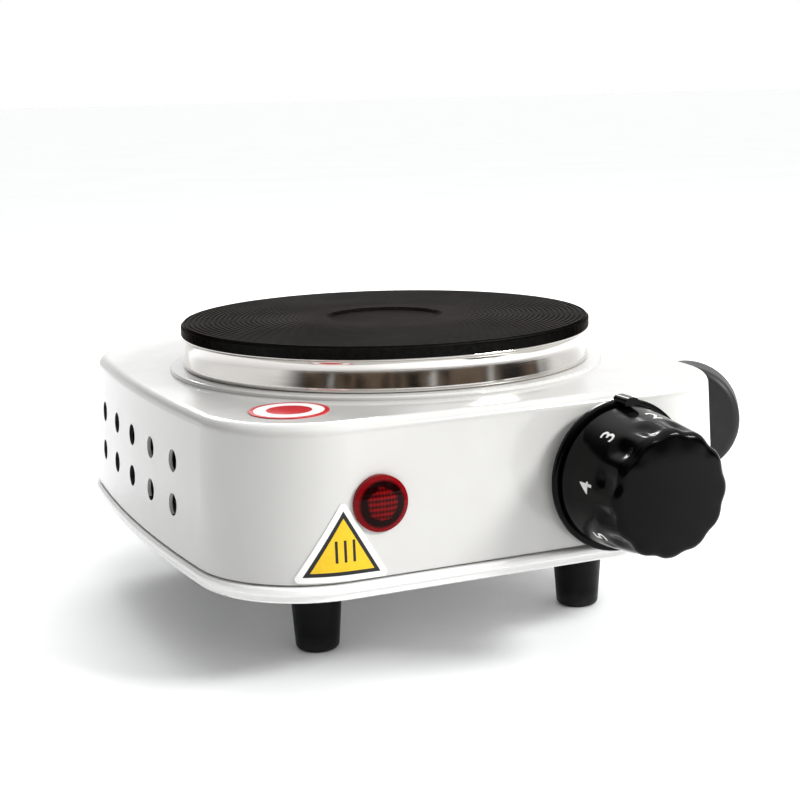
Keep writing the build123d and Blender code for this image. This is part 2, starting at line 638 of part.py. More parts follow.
def neon_lamp():
    """Small glass neon lamp inside the lens and sleeve."""
    front = -wall_y(LAMP_Z) - HOLE_GAP
    bulb = rod_y(BULB_R, front, SLEEVE_BACK_Y - SLEEVE_END_T, LAMP_X, LAMP_Z)
    return fillet(bulb.edges().filter_by(GeomType.CIRCLE).sort_by(Axis.Y)[0], BULB_END_R)


# ---------------------------------------------------------------- wiring
BLOCK_X, BLOCK_Y, BLOCK_PITCH = GLAND_X, FOOT_Y, 7.5
BLOCK_LOW_Z, BLOCK_HIGH_Z = STRAP_Z + STRAP_T, STRAP_Z + STRAP_T + 10.0
BLOCK_HALF_W, BLOCK_HALF_D = 11.8, 7.0
BLOCK_FRONT_Y, BLOCK_BACK_Y = BLOCK_Y - BLOCK_HALF_D, BLOCK_Y + BLOCK_HALF_D
BLOCK_CHAMFER, WELL_R, WELL_DEPTH = 2.0, 2.2, 4.0
CLAMP_SCREW_R, CLAMP_SCREW_SUNK, DRIVER_SLOT_W = 1.9, 1.2, 0.6
PORT_Z = 32.5
LAMP_PORT_X, LAMP_PORT_Z = -2.4, PORT_Z + 1.5     # where the lamp's lead joins its port
WIRE_R, THIN_WIRE_R, CORE_R, CORE_SPREAD = 0.95, 0.8, 0.855, 2.0
FUSE_X, FUSE_Y, FUSE_Z = (22.0, 34.0), 39.0, 36.0
FUSE_R, FUSE_EDGE_R = 2.2, 0.6


def port_places():
    """Middle of each way of the terminal block, left to right."""
    return [BLOCK_X + BLOCK_PITCH * index for index in (-1, 0, 1)]


def terminal_block():
    """Three-way screw terminal block on the rear strap."""
    body = block(
        (BLOCK_X - BLOCK_HALF_W, BLOCK_X + BLOCK_HALF_W), (BLOCK_FRONT_Y, BLOCK_BACK_Y),
        (BLOCK_LOW_Z, BLOCK_HIGH_Z))
    body = chamfer(body.edges().filter_by(Axis.X).sort_by(Axis.Z)[-2:], BLOCK_CHAMFER)
    well_z = BLOCK_HIGH_Z - WELL_DEPTH
    wells = [disc(WELL_R, well_z, BLOCK_HIGH_Z + OVER, x, BLOCK_Y) for x in port_places()]
    return cut(body, *wells)


def terminal_screws():
    """The block's three clamping screws."""
    head_z = BLOCK_HIGH_Z - CLAMP_SCREW_SUNK
    screws = []
    for x in port_places():
        screw = disc(CLAMP_SCREW_R, BLOCK_HIGH_Z - WELL_DEPTH, head_z, x, BLOCK_Y)
        slot = Box(2 * WELL_R, DRIVER_SLOT_W, 2 * DRIVER_SLOT_W)
        screws.append(screw - Pos(x, BLOCK_Y, head_z) * slot)
    return screws


def thermal_fuse():
    """Cylindrical cut-out in the live lead."""
    body = rod_x(FUSE_R, *FUSE_X, FUSE_Y, FUSE_Z)
    return fillet(body.edges().filter_by(GeomType.CIRCLE), FUSE_EDGE_R)


def supply_cores():
    """The cord's three cores, from the end of its sheath to the terminal block."""
    cores = []
    for index, port_x in zip((-1, 0, 1), port_places()):
        start = (BLOCK_X + CORE_SPREAD * index, SHEATH_END_Y, GLAND_Z)
        cores.append(tube([start, (port_x, BLOCK_BACK_Y, PORT_Z)], CORE_R))
    return cores


def live_wire():
    """From the terminal block to the regulator."""
    port_x, tab_x = port_places()[2], KNOB_X - CONTACT_X
    route = [
        (port_x, BLOCK_FRONT_Y, PORT_Z),
        (port_x, BLOCK_FRONT_Y - 12, PORT_Z),
        (tab_x, TAB_END_Y + 14, CONTACT_Z),
        (tab_x, TAB_END_Y, CONTACT_Z),
    ]
    return tube(route, WIRE_R)


def switched_wire():
    """From the regulator to the thermal fuse."""
    tab_x, far_x = KNOB_X + CONTACT_X, 48.0
    route = [
        (tab_x, TAB_END_Y, CONTACT_Z),
        (tab_x, TAB_END_Y + 10, CONTACT_Z),
        (far_x, -8, CONTACT_Z),
        (far_x, 24, 35),
        (FUSE_X[1] + 8, FUSE_Y, FUSE_Z),
        (FUSE_X[1], FUSE_Y, FUSE_Z),
    ]
    return tube(route, WIRE_R)


def fuse_lead():
    """From the thermal fuse to the right-hand pin of the element."""
    route = [
        (FUSE_X[0], FUSE_Y, FUSE_Z),
        (TERMINAL_X + 3, FUSE_Y, FUSE_Z),
        (TERMINAL_X, TERMINAL_Y, TERMINAL_TIP_Z - 3),
        (TERMINAL_X, TERMINAL_Y, TERMINAL_TIP_Z),
    ]
    return tube(route, THIN_WIRE_R)


def neutral_wire():
    """From the terminal block to the left-hand pin of the element."""
    port_x = port_places()[0]
    route = [
        (port_x, BLOCK_FRONT_Y, PORT_Z),
        (port_x, BLOCK_FRONT_Y - 6, PORT_Z),
        (port_x - 2, BLOCK_FRONT_Y - 8, 41),
        (-TERMINAL_X - 4, TERMINAL_Y - 1, 40.6),
        (-TERMINAL_X, TERMINAL_Y, 41),
        (-TERMINAL_X, TERMINAL_Y, TERMINAL_TIP_Z),
    ]
    return tube(route, THIN_WIRE_R)


def earth_wire():
    """From the terminal block to the earth screw on the base pan."""
    port_x, end_z = port_places()[1], PAN_Z + SHEET + WIRE_R
    route = [
        (port_x, BLOCK_FRONT_Y, PORT_Z),
        (port_x, BLOCK_FRONT_Y - 9, PORT_Z),
        (port_x, BLOCK_FRONT_Y - 15, end_z),
        (EARTH_X, EARTH_Y + SCREW_HEAD_R + HOLE_GAP, end_z),
    ]
    return tube(route, WIRE_R)


def earth_screw():
    """Brass earth screw in the pan's floor."""
    head = disc(SCREW_HEAD_R, PAN_Z + SHEET, PAN_Z + SHEET + SCREW_HEAD_H, EARTH_X, EARTH_Y)
    return fillet(head.edges().sort_by(Axis.Z)[-1], SCREW_EDGE_R)


def lamp_wires():
    """The neon lamp's two leads, one to the regulator and one to the terminal block."""
    back = SLEEVE_BACK_Y - SLEEVE_END_T
    left_x, right_x = LAMP_X - LEAD_X, LAMP_X + LEAD_X
    to_block = [
        (left_x, back, LAMP_Z),
        (left_x, back + 14, LAMP_Z),
        (LAMP_X - 8, -24, PORT_Z + 3),
        (LAMP_X - 8, 12, LAMP_PORT_Z),
        (port_places()[0] + LAMP_PORT_X, BLOCK_FRONT_Y, LAMP_PORT_Z),
    ]
    to_switch = [
        (right_x, back, LAMP_Z),
        (right_x, back + 12, LAMP_Z),
        (-6, -33, PORT_Z + 4),
        (KNOB_X - CONTACT_X, TAB_END_Y - TAB_L * 0.4, CONTACT_Z + 1),
    ]
    return [tube(to_block, LEAD_R), tube(to_switch, LEAD_R)]


# ---------------------------------------------------------------- cord
def cord_clamp_base():
    """Lower half of the saddle that grips the cord inside the housing."""
    return saddle((PAN_Z + SHEET, GLAND_Z))


def cord_clamp_cap():
    """Upper half of the saddle."""
    return saddle((GLAND_Z, CLAMP_TOP_Z))


def saddle(z):
    """A block across the cord, bored for it and for its two screws."""
    half_w, half_l = CLAMP_W / 2, CLAMP_L / 2
    body = block((CLAMP_X - half_w, CLAMP_X + half_w), (CLAMP_Y - half_l, CLAMP_Y + half_l), z)
    bore = rod_y(CORD_R, CLAMP_Y - CLAMP_L, CLAMP_Y + CLAMP_L, CLAMP_X, GLAND_Z)
    holes = [disc(SCREW_R, 0, TOP_Z, x, CLAMP_Y) for x in clamp_screw_places()]
    return cut(body, bore, *holes)


def clamp_screw_places():
    """The x of each of the saddle's screws."""
    return CLAMP_X - CLAMP_SCREW_X, CLAMP_X + CLAMP_SCREW_X


def cord_clamp_screws():
    """Two screws down through the saddle into the pan."""
    tip_z = PAN_Z + SHEET / 8
    return [pan_head_screw(x, CLAMP_Y, CLAMP_TOP_Z, tip_z) for x in clamp_screw_places()]


GLAND_FLANGE_R, GLAND_FLANGE_T, GLAND_LIP_R = 8.8, 1.6, 7.2
GLAND_SHOULDER_R, GLAND_SLEEVE_R = 6.8, 4.4
GLAND_INSIDE = 4.2        # how far the gland reaches inside the wall's foot
GROOVE_R, GROOVE_W, GROOVE_PITCH, GROOVES_FROM = 4.1, 1.3, 3.5, 7.0
GLAND_TIP_Y = BODY_D / 2 + GLAND_FLANGE_T + GLAND_L


def cord_gland():
    """Moulded strain relief: a flange outside the rear wall, a lip inside it, a grooved sleeve."""
    wall = BODY_D / 2
    face_y = wall + GLAND_FLANGE_T
    corners = [
        (0, wall - 3), (GLAND_FLANGE_R, wall - 3), (GLAND_FLANGE_R, face_y),
        (GLAND_SHOULDER_R, face_y + 1), (GLAND_SLEEVE_R, GLAND_TIP_Y), (0, GLAND_TIP_Y),
    ]
    outside = turned_y(corners, GLAND_X, GLAND_Z) - tapered_block(0, PAN_Z, TOP_Z)
    lip = rod_y(GLAND_LIP_R, wall - GLAND_INSIDE, wall, GLAND_X, GLAND_Z)
    lip = lip & tapered_block(SHEET, PAN_Z, TOP_Z - SHEET)
    neck = rod_y(GLAND_NECK_R, wall - 3, wall, GLAND_X, GLAND_Z)
    body = cut(outside + lip + neck, *gland_grooves())
    return body - rod_y(CORD_R, wall - 2 * GLAND_INSIDE, GLAND_TIP_Y + OVER, GLAND_X, GLAND_Z)


def gland_grooves():
    """Three grooves round the sleeve that let it bend."""
    for index in range(3):
        y = BODY_D / 2 + GROOVES_FROM + GROOVE_PITCH * index
        ring = rod_y(2 * GROOVE_R, y, y + GROOVE_W, GLAND_X, GLAND_Z)
        yield ring - rod_y(GROOVE_R, y - OVER, y + GROOVE_W + OVER, GLAND_X, GLAND_Z)


def cord_sheath_end():
    """The cord's sheath inside the gland and the saddle."""
    return rod_y(CORD_R, SHEATH_END_Y, GLAND_TIP_Y, GLAND_X, GLAND_Z)


COIL_TOP_Z = 4 * CORD_R
COIL_EDGE_R = 2.56


def gland_route():
    """The cord from the gland down to the top of the coil's first turn."""
    entry_x = COIL_X - COIL_R - CORD_R
    return [
        (GLAND_X, GLAND_TIP_Y, GLAND_Z),
        (GLAND_X, 101.5, GLAND_Z),
        (-20.0, 113.5, 28.5),
        (entry_x + 0.1, 123.5, 19.0),
        (entry_x + 0.5, 135.5, 11.6),
        (-16.4, 149.0, 9.6),
    ]


def plug_frame():
    """Plane at the plug's middle: x along the grip's level heading, z along the pins."""
    heading = radians(PLUG_HEADING)
    pins = Vector(cos(heading), sin(heading), 0)
    grip = Vector(-sin(heading), cos(heading), 0)
    return Plane(origin=(PLUG_X, PLUG_Y, PLUG_R), x_dir=grip, z_dir=pins)


def cord_leaves_plug():
    """Where the cord leaves the plug, and the way it points there."""
    heading, tilt = radians(PLUG_HEADING), radians(PLUG_TILT)
    way = Vector(-sin(heading) * cos(tilt), cos(heading) * cos(tilt), -sin(tilt))
    return Vector(PLUG_X, PLUG_Y, PLUG_R) + way * PLUG_REACH, way


def plug_route():
    """The cord from the coil's last turn along the table and up into the plug."""
    exit_point, way = cord_leaves_plug()
    landing = exit_point + way * ((exit_point.Z - CORD_R) / -way.Z)
    return [
        (COIL_X + COIL_R + 3.1, 142.0, CORD_R),
        (COIL_X + COIL_R + 4.2, 127.0, CORD_R),
        (67.2, 114.2, CORD_R),
        (77.6, 104.2, CORD_R),
        (89.6, 97.2, CORD_R),
        (landing.X, landing.Y, CORD_R),
        tuple(exit_point),
    ]


def power_cord():
    """The cord's two free stretches, either side of its coil."""
    return [tube(gland_route(), CORD_R), tube(plug_route(), CORD_R)]


def cord_coil():
    """Outer shape of the coiled length: two turns wide and two turns high."""
    ring = disc(COIL_R + 2 * CORD_R, 0, COIL_TOP_Z, COIL_X, COIL_Y)
    ring = ring - disc(COIL_R - 2 * CORD_R, -OVER, COIL_TOP_Z + OVER, COIL_X, COIL_Y)
    return fillet(ring.edges().filter_by(GeomType.CIRCLE), COIL_EDGE_R)


PIN_R, PIN_L, PIN_SPACING, PIN_TIP_R = 2.4, 19.0, 19.0, 1.6
PLUG_T, PLUG_EDGE_R = 15.0, 2.5
GRIP_FROM, GRIP_W, GRIP_T, GRIP_CORNER_R = 6.0, 19.0, 12.5, 4.0
GRIP_TIP_R = 4.7


def plug_body():
    """Round moulded plug with its cord leaving at the side, lying on its rim."""
    frame = plug_frame()
    disc_body = frame * Cylinder(PLUG_R, PLUG_T)
    disc_body = fillet(disc_body.edges().filter_by(GeomType.CIRCLE), PLUG_EDGE_R)
    grip = Plane(origin=frame.origin, x_dir=frame.z_dir, z_dir=cord_leaves_plug()[1])
    root = grip.offset(GRIP_FROM) * RectangleRounded(GRIP_T, GRIP_W, GRIP_CORNER_R)
    tip = grip.offset(PLUG_REACH) * Circle(GRIP_TIP_R)
    return disc_body + loft([root.face(), tip.face()])


def plug_pins():
    """Two round pins."""
    frame = plug_frame()
    pins = []
    for side in (-1, 1):
        pin = Cylinder(PIN_R, PIN_L, align=CENTRED_BELOW)
        pin = fillet(pin.edges().filter_by(GeomType.CIRCLE).sort_by(Axis.Z)[-1], PIN_TIP_R)
        pins.append(frame * Rot(0, 0, PLUG_TILT) * Pos(0, side * PIN_SPACING / 2, PLUG_T / 2) * pin)
    return pins


# ---------------------------------------------------------------- labels
LABEL_T = 0.25
HEAT_LABEL_CORNERS = [(-50.0, 25.2), (-29.3, 24.9), (-38.9, 41.9)]    # x, z on the front wall
HEAT_LABEL_CORNER_R = 0.9
TOP_LABEL_X, TOP_LABEL_Y, TOP_LABEL_R = -43.3, -48.3, 8.5


def heat_label():
    """Triangular label on the front wall, low at the left of the indicator."""
    plane = Plane((0, -BODY_D / 2 - OVER, 0), x_dir=(1, 0, 0), z_dir=(0, 1, 0))
    face = plane * make_face(Polyline(*[(x, -z) for x, z in HEAT_LABEL_CORNERS], close=True))
    prism = extrude(fillet(face.vertices(), HEAT_LABEL_CORNER_R), HOLE_REACH)
    skin = tapered_block(-LABEL_T, WALL_FOOT_Z, TOP_Z) - tapered_block(0, WALL_FOOT_Z, TOP_Z)
    notch_r = LAMP_R + 2 * HOLE_GAP
    notch = rod_y(notch_r, -BODY_D / 2 - 2, -BODY_D / 2 + HOLE_REACH, LAMP_X, LAMP_Z)
    return (prism & skin) - notch


def top_label():
    """Round label on the flat of the top, at its front left corner."""
    return disc(TOP_LABEL_R, TOP_Z, TOP_Z + LABEL_T, TOP_LABEL_X, TOP_LABEL_Y)


# ---------------------------------------------------------------- export
def place(solids):
    """One shape in the part's own frame, from a solid or a list of them."""
    pieces = solids if isinstance(solids, list) else [solids]
    moved = [Pos(0, FRAME_SHIFT, 0) * solid for piece in pieces for solid in piece.solids()]
    return moved[0] if len(moved) == 1 else Compound(children=moved)


def stud_nut():
    """Nut that tightens the bridge."""
    top_z = BRIDGE_Z - WASHER_T
    return hex_nut(NUT_ACROSS, top_z - NUT_H, top_z, STUD_R)


def shield_nut():
    """Nut that holds the heat shield."""
    return hex_nut(NUT_ACROSS, SHIELD_Z - SHIELD_NUT_H, SHIELD_Z, STUD_R)


NODES = {
    "top_shell": top_shell,
    "base_pan": base_pan,
    "front_cross_strap": lambda: cross_strap(-FOOT_Y),
    "rear_cross_strap": lambda: cross_strap(FOOT_Y),
    "foot_screws": foot_screws,
    "hotplate_casting": hotplate_casting,
    "trim_ring": trim_ring,
    "heating_coil": heating_coil,
    "coil_cement": coil_cement,
    "plate_back_cover": plate_back_cover,
    "insulation_pad": insulation_pad,
    "clamp_bridge": clamp_bridge,
    "centre_stud": centre_stud,
    "stud_washer": stud_washer,
    "stud_nut": stud_nut,
    "heat_shield": heat_shield,
    "shield_nut": shield_nut,
    "element_terminals": element_terminals,
    "terminal_beads": terminal_beads,
    "thermostat_body": thermostat_body,
    "thermostat_bush": thermostat_bush,
    "thermostat_nut": thermostat_nut,
    "thermostat_bimetal": thermostat_bimetal,
    "thermostat_contacts": thermostat_contacts,
    "thermostat_spindle": thermostat_spindle,
    "knob": knob,
    "knob_clip": knob_clip,
    "knob_bezel": knob_bezel,
    "indicator_lens": indicator_lens,
    "indicator_holder": indicator_holder,
    "indicator_clip": indicator_clip,
    "neon_lamp": neon_lamp,
    "terminal_block": terminal_block,
    "terminal_screws": terminal_screws,
    "thermal_fuse": thermal_fuse,
    "supply_cores": supply_cores,
    "live_wire": live_wire,
    "switched_wire": switched_wire,
    "fuse_lead": fuse_lead,
    "neutral_wire": neutral_wire,
    "earth_wire": earth_wire,
    "earth_screw": earth_screw,
    "lamp_wires": lamp_wires,
    "cord_clamp_base": cord_clamp_base,
    "cord_clamp_cap": cord_clamp_cap,
    "cord_clamp_screws": cord_clamp_screws,
    "cord_gland": cord_gland,
    "cord_sheath_end": cord_sheath_end,
    "power_cord": power_cord,
    "cord_coil": cord_coil,
    "plug_body": plug_body,
    "plug_pins": plug_pins,
    "heat_label": heat_label,
    "top_label": top_label,
}


def report_cord():
    """Print the cord's radii, its volume against section times length, and its length."""
    free = 0.0
    for route in (gland_route(), plug_route()):
        path = FilletPolyline(*route, radius=route_radii(route))
        ratio = tube(route, CORD_R).volume / (pi * CORD_R**2 * path.length)
        radii = [round(radius, 1) for radius in route_radii(route)]
        print("radii", radii, "length", round(path.length, 1), "volume ratio", round(ratio, 4))
        free += path.length
    turns = (CORD_LENGTH - free) / (2 * pi * COIL_R)
    print("free", round(free, 1), "coiled", round(CORD_LENGTH - free, 1), "turns", round(turns, 2))


def main():
    """Write one STEP file per sub-part."""
    os.makedirs("parts", exist_ok=True)
    shapes = {name: make() for name, make in NODES.items()}
    for name, x, y in feet_places():
        shapes[f"foot_{name}"] = foot(x, y)
    for name, shape in shapes.items():
        export_step(place(shape), f"parts/{name}.step")
    report_cord()


main()
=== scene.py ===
from math import atan2, cos, pi, radians, sin

import bmesh
import bpy
from mathutils import Matrix, Vector


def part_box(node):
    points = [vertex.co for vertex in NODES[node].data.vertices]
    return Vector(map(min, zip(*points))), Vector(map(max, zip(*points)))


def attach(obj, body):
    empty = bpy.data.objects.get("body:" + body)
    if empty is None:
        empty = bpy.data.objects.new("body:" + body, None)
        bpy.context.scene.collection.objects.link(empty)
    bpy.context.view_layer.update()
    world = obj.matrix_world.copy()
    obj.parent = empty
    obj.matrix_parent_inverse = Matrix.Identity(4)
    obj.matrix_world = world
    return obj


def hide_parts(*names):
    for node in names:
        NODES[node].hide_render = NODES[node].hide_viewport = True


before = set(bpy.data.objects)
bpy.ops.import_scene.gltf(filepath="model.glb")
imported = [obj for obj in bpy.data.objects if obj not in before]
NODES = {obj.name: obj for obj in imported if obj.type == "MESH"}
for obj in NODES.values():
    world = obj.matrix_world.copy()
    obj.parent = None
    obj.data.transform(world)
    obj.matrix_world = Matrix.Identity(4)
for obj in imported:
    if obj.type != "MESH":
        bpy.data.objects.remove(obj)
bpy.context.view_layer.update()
MM = 0.001

# ------------------------------------------------------------------ places, from the frame
def corners(name):
    """Lowest and highest corners of a node at rest."""
    return tuple(Vector(corner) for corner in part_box(name))


def middle(name):
    """Middle of a node's box at rest."""
    low, high = corners(name)
    return (low + high) / 2


KNOB_LOW, KNOB_HIGH = corners("knob")
COIL_LOW, COIL_HIGH = corners("cord_coil")
RING_LOW, RING_HIGH = corners("trim_ring")
AXIS_X, AXIS_Y, _ = middle("hotplate_casting")
KNOB_X, _, KNOB_Z = middle("knob")
BADGE_X, BADGE_Y, _ = middle("top_label")
LENS_X, _, LENS_Z = middle("indicator_lens")
COIL_X, COIL_Y, _ = middle("cord_coil")

CORD_R = 3.2 * MM


# ------------------------------------------------------------------ camera
CAMERA_AZIMUTH, CAMERA_ELEVATION, CAMERA_ROLL = radians(-23.86), radians(10.95), radians(-1.36)
CAMERA_DISTANCE, CAMERA_LENS = 396.7 * MM, 71.33
TARGET_BESIDE_AXIS, TARGET_Z = 3.6 * MM, 47.2 * MM


def make_camera():
    """Camera at the height and side that the appliance is looked at from."""
    level = cos(CAMERA_ELEVATION)
    back = Vector((sin(CAMERA_AZIMUTH) * level, -cos(CAMERA_AZIMUTH) * level, sin(CAMERA_ELEVATION)))
    upright = back.to_track_quat("Z", "Y").to_matrix()
    data = bpy.data.cameras.new("camera")
    data.sensor_width = 36.0
    data.lens = CAMERA_LENS
    data.clip_start = 0.01
    camera = bpy.data.objects.new("camera", data)
    camera.location = Vector((AXIS_X + TARGET_BESIDE_AXIS, AXIS_Y, TARGET_Z)) + back * CAMERA_DISTANCE
    camera.rotation_euler = (upright @ Matrix.Rotation(CAMERA_ROLL, 3, "Z")).to_euler()
    bpy.context.scene.collection.objects.link(camera)
    bpy.context.scene.camera = camera


# ------------------------------------------------------------------ shader helpers
class Shader:
    """A node material under construction, with short calls for the nodes that it uses."""

    def __init__(self, name, owner=None, **settings):
        self.material = owner or bpy.data.materials.new(name)
        self.material.use_nodes = True
        self.tree = self.material.node_tree
        self.bsdf = self.tree.nodes.get("Principled BSDF")
        for socket, value in settings.items():
            self.bsdf.inputs[socket.replace("_", " ")].default_value = value

    def node(self, kind, inputs=None, **attributes):
        node = self.tree.nodes.new(kind)
        for key, value in attributes.items():
            setattr(node, key, value)
        for key, value in (inputs or {}).items():
            self.feed(node.inputs[key], value)
        return node

    def feed(self, socket, value):
        if isinstance(value, bpy.types.NodeSocket):
            self.tree.links.new(value, socket)
        else:
            socket.default_value = value

    def place(self):
        """The point in the frame, in metres."""
        return self.node("ShaderNodeTexCoord").outputs["Object"]

    def noise(self, scale, detail=4.0, roughness=0.55, vector=None):
        inputs = {"Vector": vector or self.place(), "Scale": scale, "Detail": detail, "Roughness": roughness}
        return self.node("ShaderNodeTexNoise", inputs).outputs["Fac"]

    def math(self, operation, first, second=0.0, clamp=False):
        node = self.node("ShaderNodeMath", operation=operation, use_clamp=clamp)
        self.feed(node.inputs[0], first)
        self.feed(node.inputs[1], second)
        return node.outputs[0]

    def vector(self, operation, first, second=(0, 0, 0)):
        node = self.node("ShaderNodeVectorMath", operation=operation)
        self.feed(node.inputs[0], first)
        self.feed(node.inputs[1], second)
        return node.outputs["Value" if operation in ("LENGTH", "DOT_PRODUCT") else "Vector"]

    def ramp(self, factor, *stops):
        node = self.node("ShaderNodeValToRGB", {"Fac": factor})
        ramp = node.color_ramp
        for index, (position, colour) in enumerate(stops):
            stop = ramp.elements[index] if index < 2 else ramp.elements.new(position)
            stop.position = position
            stop.color = (*colour, 1.0) if len(colour) == 3 else colour
        return node.outputs["Color"]

    def grey(self, factor, low, high):
        """A factor from 0 to 1 spread over a range of values."""
        node = self.node("ShaderNodeMapRange", {"Value": factor, "To Min": low, "To Max": high})
        return node.outputs["Result"]

    def blend(self, factor, first, second):
        """From the first colour at 0 to the second at 1."""
        node = self.node("ShaderNodeMix", data_type="RGBA")
        self.feed(node.inputs["Factor"], factor)
        self.feed(node.inputs[6], first)
        self.feed(node.inputs[7], second)
        return node.outputs[2]

    def between(self, value, start, end):
        """Smoothly from 0 at start to 1 at end."""
        inputs = {"Value": value, "From Min": start, "From Max": end}
        return self.node("ShaderNodeMapRange", inputs, interpolation_type="SMOOTHSTEP").outputs["Result"]

    def step(self, value, edge):
        """0 below an edge and 1 above it."""
        return self.math("GREATER_THAN", value, edge)

    def bump(self, height, strength, distance, normal=None):
        inputs = {"Height": height, "Strength": strength, "Distance": distance}
        if normal:
            inputs["Normal"] = normal
        return self.node("ShaderNodeBump", inputs).outputs["Normal"]

    def radius(self, centre, mask):
        """Distance from a line through centre; mask drops the line's own axis."""
        offset = self.vector("SUBTRACT", self.place(), tuple(centre))
        return self.vector("LENGTH", self.vector("MULTIPLY", offset, mask))

    def done(self, colour=None, roughness=None, normal=None):
        for name, value in (("Base Color", colour), ("Roughness", roughness), ("Normal", normal)):
            if value is not None:
                self.feed(self.bsdf.inputs[name], value)
        return self.material


# ------------------------------------------------------------------ materials
PLATE_GROOVE_PITCH = 1.25 * MM
LENS_ROW_PITCH, LENS_CELL_PITCH = 1.15 * MM, 0.75 * MM
TRIANGLE = [(-50.0, 25.2), (-29.3, 24.9), (-38.9, 41.9)]     # mm, x from the plate's axis and z
TRIANGLE_MARGIN, TRIANGLE_BORDER = 1.2 * MM, 0.8 * MM
BAR_Z, BAR_H, BAR_W, BAR_PITCH = 31.2 * MM, 4.6 * MM, 0.6 * MM, 1.9 * MM
BADGE_MIDDLE_R, BADGE_BAND_R = 4.9 * MM, 7.5 * MM


def enamel(name="white_enamel", low=(0.525, 0.522, 0.504), high=(0.562, 0.559, 0.540)):
    """Glossy off-white enamel with a faint orange peel."""
    s = Shader(name, Coat_Weight=0.5, Coat_Roughness=0.05, IOR=1.5)
    colour = s.ramp(s.noise(38, 3), (0.3, low), (0.7, high))
    peel = s.bump(s.noise(420, 2), 0.05, 0.0002)
    return s.done(colour, s.grey(s.noise(160, 3), 0.14, 0.24), peel)


def pan_enamel():
    """The shell's own enamel on the base pan, painted lighter as painted light on the pan's lip."""
    return enamel("pan_enamel", (0.84, 0.84, 0.825), (0.88, 0.88, 0.865))


def ground_coat():
    """Near-black speckled coat of the shell's inward faces: painted shade for the dim inside seen through
    the vents.
    """
    s = Shader("ground_coat")
    colour = s.ramp(s.noise(700, 5), (0.35, (0.010, 0.010, 0.012)), (0.75, (0.040, 0.041, 0.045)))
    return s.done(colour, s.grey(s.noise(260, 3), 0.35, 0.5), s.bump(s.noise(900, 3), 0.15, 0.0001))


def plate_iron():
    """Dark coated cast iron, turned in fine rings towards its edge."""
    s = Shader("plate_iron", Metallic=1.0, Specular_Tint=(0.40, 0.39, 0.38, 1.0))
    radius = s.radius((AXIS_X, AXIS_Y, 0), (1, 1, 0))
    rings = s.math("SINE", s.math("MULTIPLY", radius, 2 * pi / PLATE_GROOVE_PITCH))
    outer = s.node("ShaderNodeMapRange", {"Value": radius, "From Min": 0.018, "From Max": 0.034})
    turned = s.math("MULTIPLY", rings, outer.outputs["Result"])
    speckle = s.noise(900, 5)
    shade = s.math("ADD", s.math("MULTIPLY", speckle, 0.6), s.math("MULTIPLY", s.noise(35, 4), 0.4))
    colour = s.ramp(shade, (0.3, (0.004, 0.004, 0.004)), (0.75, (0.013, 0.0125, 0.012)))
    grain = s.bump(speckle, 0.3, 0.0002)
    normal = s.bump(turned, 1.0, 0.0003, grain)
    return s.done(colour, s.grey(s.noise(60, 4), 0.36, 0.5), normal)


def bright_ring():
    """Bright pressed steel, faintly brushed round its turn."""
    s = Shader("bright_ring", Metallic=1.0)
    offset = s.vector("SUBTRACT", s.place(), (AXIS_X, AXIS_Y, 0))
    lines = s.noise(1.0, 3, vector=s.vector("MULTIPLY", offset, (40, 40, 4200)))
    colour = s.ramp(s.noise(30, 2), (0.3, (0.62, 0.60, 0.57)), (0.7, (0.74, 0.72, 0.69)))
    return s.done(colour, s.grey(lines, 0.06, 0.16), s.bump(lines, 0.08, 0.0001))


def zinc_steel():
    """Zinc-plated steel with a mottled passivated sheen."""
    s = Shader("zinc_steel", Metallic=1.0)
    colour = s.ramp(s.noise(180, 5), (0.3, (0.46, 0.46, 0.44)), (0.7, (0.66, 0.65, 0.60)))
    return s.done(colour, s.grey(s.noise(500, 3), 0.25, 0.42), s.bump(s.noise(900, 3), 0.1, 0.0001))


def plated_pin():
    """Nickel-plated brass, drawn lengthwise."""
    s = Shader("plated_pin", Metallic=1.0)
    colour = s.ramp(s.noise(240, 4), (0.3, (0.64, 0.60, 0.52)), (0.7, (0.76, 0.73, 0.66)))
    return s.done(colour, s.grey(s.noise(800, 3), 0.16, 0.3), s.bump(s.noise(1200, 2), 0.08, 0.0001))


def brass():
    """Turned brass."""
    s = Shader("brass", Metallic=1.0)
    colour = s.ramp(s.noise(300, 4), (0.3, (0.62, 0.43, 0.16)), (0.7, (0.78, 0.58, 0.26)))
    return s.done(colour, s.grey(s.noise(700, 3), 0.2, 0.35), s.bump(s.noise(1100, 2), 0.1, 0.0001))


def glossy_black():
    """Black phenolic with a polished moulded skin."""
    s = Shader("glossy_black", Specular_IOR_Level=0.09)
    colour = s.ramp(s.noise(70, 4), (0.3, (0.0005, 0.0005, 0.0006)), (0.75, (0.0018, 0.0018, 0.002)))
    return s.done(colour, s.grey(s.noise(140, 4), 0.10, 0.19), s.bump(s.noise(650, 3), 0.05, 0.0001))


def satin_black():
    """Satin black moulding, finely grained."""
    s = Shader("satin_black", Specular_IOR_Level=0.3)
    colour = s.ramp(s.noise(90, 4), (0.3, (0.008, 0.008, 0.009)), (0.75, (0.019, 0.018, 0.018)))
    return s.done(colour, s.grey(s.noise(300, 3), 0.38, 0.52), s.bump(s.noise(1500, 3), 0.2, 0.0001))


